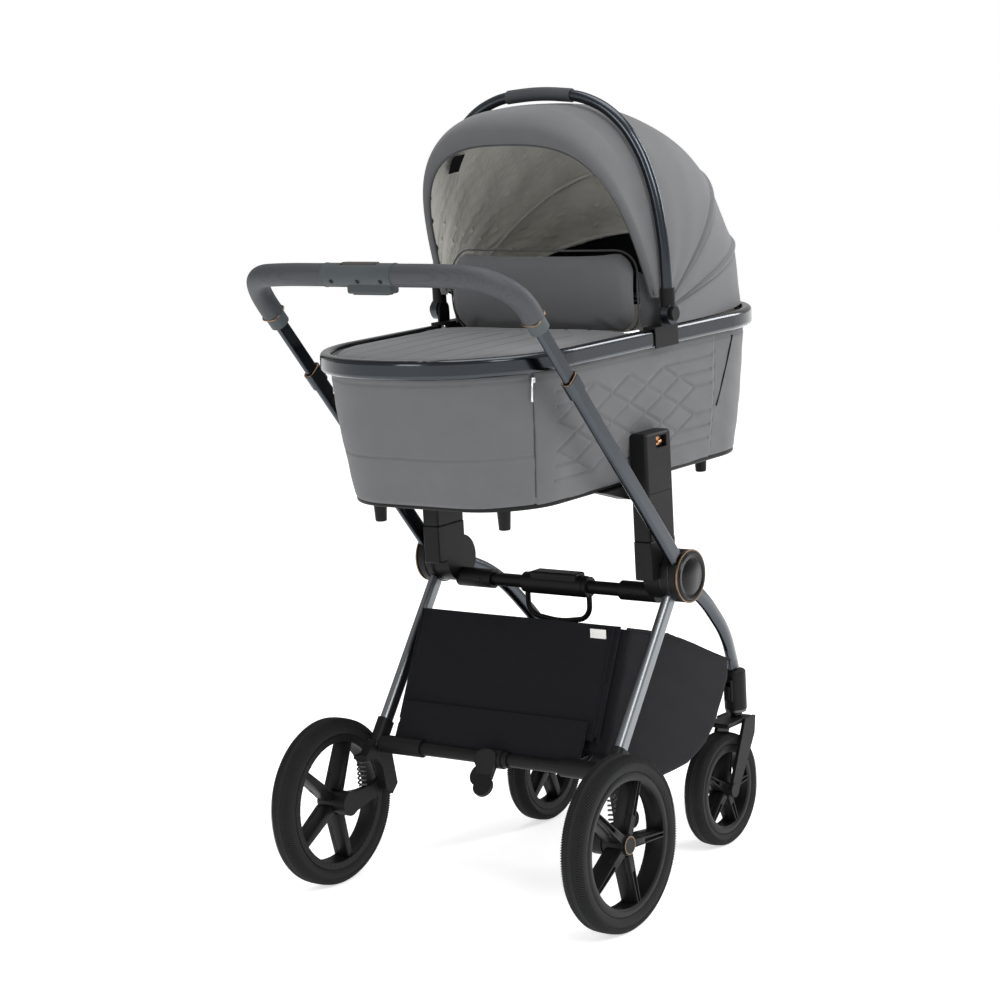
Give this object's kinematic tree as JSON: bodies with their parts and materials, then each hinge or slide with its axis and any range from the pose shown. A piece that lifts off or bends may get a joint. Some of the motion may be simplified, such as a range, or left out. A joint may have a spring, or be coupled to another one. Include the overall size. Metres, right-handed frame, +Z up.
{
  "type": "baby stroller",
  "caption": "Folding stroller frame with lift-off carrycot, arched carry handle and hood, telescopic push handle, under-seat basket, sprung wheels and swivel casters.",
  "frame": {"origin": "on the ground under the middle of the whole object", "axes": "+X to the stroller's right, +Y the direction of travel, +Z up"},
  "size_m": [0.608, 0.9127, 1.2775],
  "materials": {
    "frame_gunmetal": "satin dark blue-grey",
    "leg_silver": "polished",
    "rim_gunmetal": "glossy dark metal",
    "black_plastic": "moulded matte",
    "bronze": "satin bronze",
    "copper": "bright copper",
    "spring_steel": "dark oiled",
    "grip_leather": "perforated",
    "centre_plastic": "grey-green",
    "button_tan": "soft touch",
    "tyre_black": "matte",
    "rim_black": "moulded satin",
    "grey_twill": "twill",
    "black_fabric": "plain weave",
    "mattress_white": "knit"
  },
  "bodies": {
    "chassis": {"hub_castings": "black_plastic", "hub_covers": "black_plastic", "adapter_posts": "black_plastic", "adapter_catches": "copper", "upper_crossbar": "black_plastic", "crossbar_saddle": "black_plastic", "front_legs": "frame_gunmetal", "caster_housings": "black_plastic", "front_cross_tube": "frame_gunmetal", "basket": "black_fabric"},
    "fold_loop": {"fold_loop": "black_plastic"},
    "rear_frame": {"rear_legs": "leg_silver", "axle_mounts": "black_plastic", "rear_crossbar": "black_plastic"},
    "brake_pedal": {"brake_pedal": "black_plastic"},
    "handle_lower": {"handle_lower_tubes": "frame_gunmetal", "telescope_collars": "black_plastic"},
    "handle_upper": {"handle_upper_tubes": "frame_gunmetal", "grip_collars": "centre_plastic", "handle_grip": "grip_leather", "handle_centre": "centre_plastic"},
    "handle_button": {"handle_button": "button_tan"},
    "handle_trigger": {"handle_trigger": "centre_plastic"},
    "carrycot": {"cot_tub": "grey_twill", "cot_rim": "rim_gunmetal", "rim_sleeves": "black_plastic", "cot_apron": "grey_twill", "cot_feet": "black_plastic", "cot_mounts": "black_plastic", "mattress": "mattress_white"},
    "hood_front": {"carry_handle": "rim_gunmetal", "carry_grip": "grip_leather", "hood_bow_front": "spring_steel", "hood_canopy": "grey_twill"},
    "hood_middle": {"hood_bow_middle": "spring_steel"},
    "hood_rear": {"hood_bow_rear": "spring_steel"},
    "rear_arm_right": {"suspension_arm_right": "black_plastic", "rear_spring_right": "spring_steel"},
    "rear_wheel_right": {"rear_tyre_right": "tyre_black", "rear_rim_right": "rim_black", "rear_hub_cap_right": "bronze"},
    "caster_right": {"caster_stem_right": "spring_steel", "front_spring_right": "spring_steel"},
    "fork_right": {"front_fork_right": "black_plastic"},
    "front_wheel_right": {"front_tyre_right": "tyre_black", "front_rim_right": "rim_black"},
    "swivel_lock_right": {"swivel_lock_right": "black_plastic"},
    "hood_button_right": {"hood_button_right": "black_plastic"},
    "rear_arm_left": {"suspension_arm_left": "black_plastic", "rear_spring_left": "spring_steel"},
    "rear_wheel_left": {"rear_tyre_left": "tyre_black", "rear_rim_left": "rim_black", "rear_hub_cap_left": "bronze"},
    "caster_left": {"caster_stem_left": "spring_steel", "front_spring_left": "spring_steel"},
    "fork_left": {"front_fork_left": "black_plastic"},
    "front_wheel_left": {"front_tyre_left": "tyre_black", "front_rim_left": "rim_black"},
    "swivel_lock_left": {"swivel_lock_left": "black_plastic"},
    "hood_button_left": {"hood_button_left": "black_plastic"}
  },
  "joints": [
    {"name": "frame_fold", "type": "hinge", "parent": "chassis", "child": "rear_frame", "pos_m": [0, 0.024, 0.502], "axis": [1, 0, 0], "range_deg": [0, 50], "deforming": ["basket"]},
    {"name": "handle_fold", "type": "hinge", "parent": "chassis", "child": "handle_lower", "pos_m": [0, 0.024, 0.502], "axis": [1, 0, 0], "range_deg": [0, 112]},
    {"name": "handle_extend", "type": "slide", "parent": "handle_lower", "child": "handle_upper", "axis": [0, -0.6388, 0.7694], "range_m": [-0.08, 0.03]},
    {"name": "handle_button_press", "type": "slide", "parent": "handle_upper", "child": "handle_button", "axis": [0, 0, -1], "range_m": [0, 0.0025], "stiffness_N_per_m": 800, "springref_m": -0.002},
    {"name": "handle_trigger_squeeze", "type": "slide", "parent": "handle_upper", "child": "handle_trigger", "axis": [0, 0, 1], "range_m": [0, 0.0035], "stiffness_N_per_m": 800, "springref_m": -0.002},
    {"name": "brake_press", "type": "hinge", "parent": "rear_frame", "child": "brake_pedal", "pos_m": [0, -0.18348, 0.22636], "axis": [1, 0, 0], "range_deg": [0, 22], "stiffness_Nm_per_rad": 0.5, "springref_deg": -8.59},
    {"name": "loop_swing", "type": "hinge", "parent": "chassis", "child": "fold_loop", "pos_m": [0, 0.024, 0.47], "axis": [1, 0, 0], "range_deg": [-90, 90]},
    {"name": "cot_lift", "type": "slide", "parent": "chassis", "child": "carrycot", "axis": [0, 0, 1], "range_m": [0, 0.35]},
    {"name": "hood_fold", "type": "hinge", "parent": "carrycot", "child": "hood_front", "pos_m": [0, 0.045, 0.918], "axis": [-1, 0, 0], "range_deg": [0, 72], "deforming": ["hood_canopy"]},
    {"name": "hood_middle_fold", "type": "hinge", "parent": "carrycot", "child": "hood_middle", "pos_m": [0, 0.045, 0.918], "axis": [-1, 0, 0], "range_deg": [0, 23]},
    {"name": "hood_rear_fold", "type": "hinge", "parent": "carrycot", "child": "hood_rear", "pos_m": [0, 0.045, 0.918], "axis": [-1, 0, 0], "range_deg": [0, 11]},
    {"name": "rear_suspension_right", "type": "hinge", "parent": "rear_frame", "child": "rear_arm_right", "pos_m": [0.248, -0.162, 0.15], "axis": [-1, 0, 0], "range_deg": [0, 7], "stiffness_Nm_per_rad": 60, "springref_deg": -8.59, "deforming": ["rear_spring_right"]},
    {"name": "rear_wheel_spin_right", "type": "hinge", "parent": "rear_arm_right", "child": "rear_wheel_right", "pos_m": [0.284, -0.25, 0.138], "axis": [1, 0, 0], "continuous": true},
    {"name": "caster_swivel_right", "type": "hinge", "parent": "chassis", "child": "caster_right", "pos_m": [0.181, 0.27, 0.222], "axis": [0, 0, 1], "continuous": true},
    {"name": "fork_travel_right", "type": "slide", "parent": "caster_right", "child": "fork_right", "axis": [0, 0, 1], "range_m": [0, 0.008], "stiffness_N_per_m": 6000, "springref_m": -0.012, "deforming": ["front_spring_right"]},
    {"name": "front_wheel_spin_right", "type": "hinge", "parent": "fork_right", "child": "front_wheel_right", "pos_m": [0.181, 0.212, 0.096], "axis": [1, 0, 0], "continuous": true},
    {"name": "swivel_lock_slide_right", "type": "slide", "parent": "chassis", "child": "swivel_lock_right", "axis": [0, 0, 1], "range_m": [0, 0.007]},
    {"name": "hood_button_press_right", "type": "slide", "parent": "hood_front", "child": "hood_button_right", "axis": [-1, 0, 0], "range_m": [0, 0.002], "stiffness_N_per_m": 800, "springref_m": -0.002},
    {"name": "rear_suspension_left", "type": "hinge", "parent": "rear_frame", "child": "rear_arm_left", "pos_m": [-0.248, -0.162, 0.15], "axis": [-1, 0, 0], "range_deg": [0, 7], "stiffness_Nm_per_rad": 60, "springref_deg": -8.59, "deforming": ["rear_spring_left"]},
    {"name": "rear_wheel_spin_left", "type": "hinge", "parent": "rear_arm_left", "child": "rear_wheel_left", "pos_m": [-0.284, -0.25, 0.138], "axis": [1, 0, 0], "continuous": true},
    {"name": "caster_swivel_left", "type": "hinge", "parent": "chassis", "child": "caster_left", "pos_m": [-0.181, 0.27, 0.222], "axis": [0, 0, 1], "continuous": true},
    {"name": "fork_travel_left", "type": "slide", "parent": "caster_left", "child": "fork_left", "axis": [0, 0, 1], "range_m": [0, 0.008], "stiffness_N_per_m": 6000, "springref_m": -0.012, "deforming": ["front_spring_left"]},
    {"name": "front_wheel_spin_left", "type": "hinge", "parent": "fork_left", "child": "front_wheel_left", "pos_m": [-0.181, 0.212, 0.096], "axis": [1, 0, 0], "continuous": true},
    {"name": "swivel_lock_slide_left", "type": "slide", "parent": "chassis", "child": "swivel_lock_left", "axis": [0, 0, 1], "range_m": [0, 0.007]},
    {"name": "hood_button_press_left", "type": "slide", "parent": "hood_front", "child": "hood_button_left", "axis": [1, 0, 0], "range_m": [0, 0.002], "stiffness_N_per_m": 800, "springref_m": -0.002}
  ],
  "couplings": [
    {"joint": "handle_fold", "follows": "frame_fold", "ratio": 2.2},
    {"joint": "hood_middle_fold", "follows": "hood_fold", "ratio": 0.3},
    {"joint": "hood_rear_fold", "follows": "hood_fold", "ratio": 0.14}
  ]
}
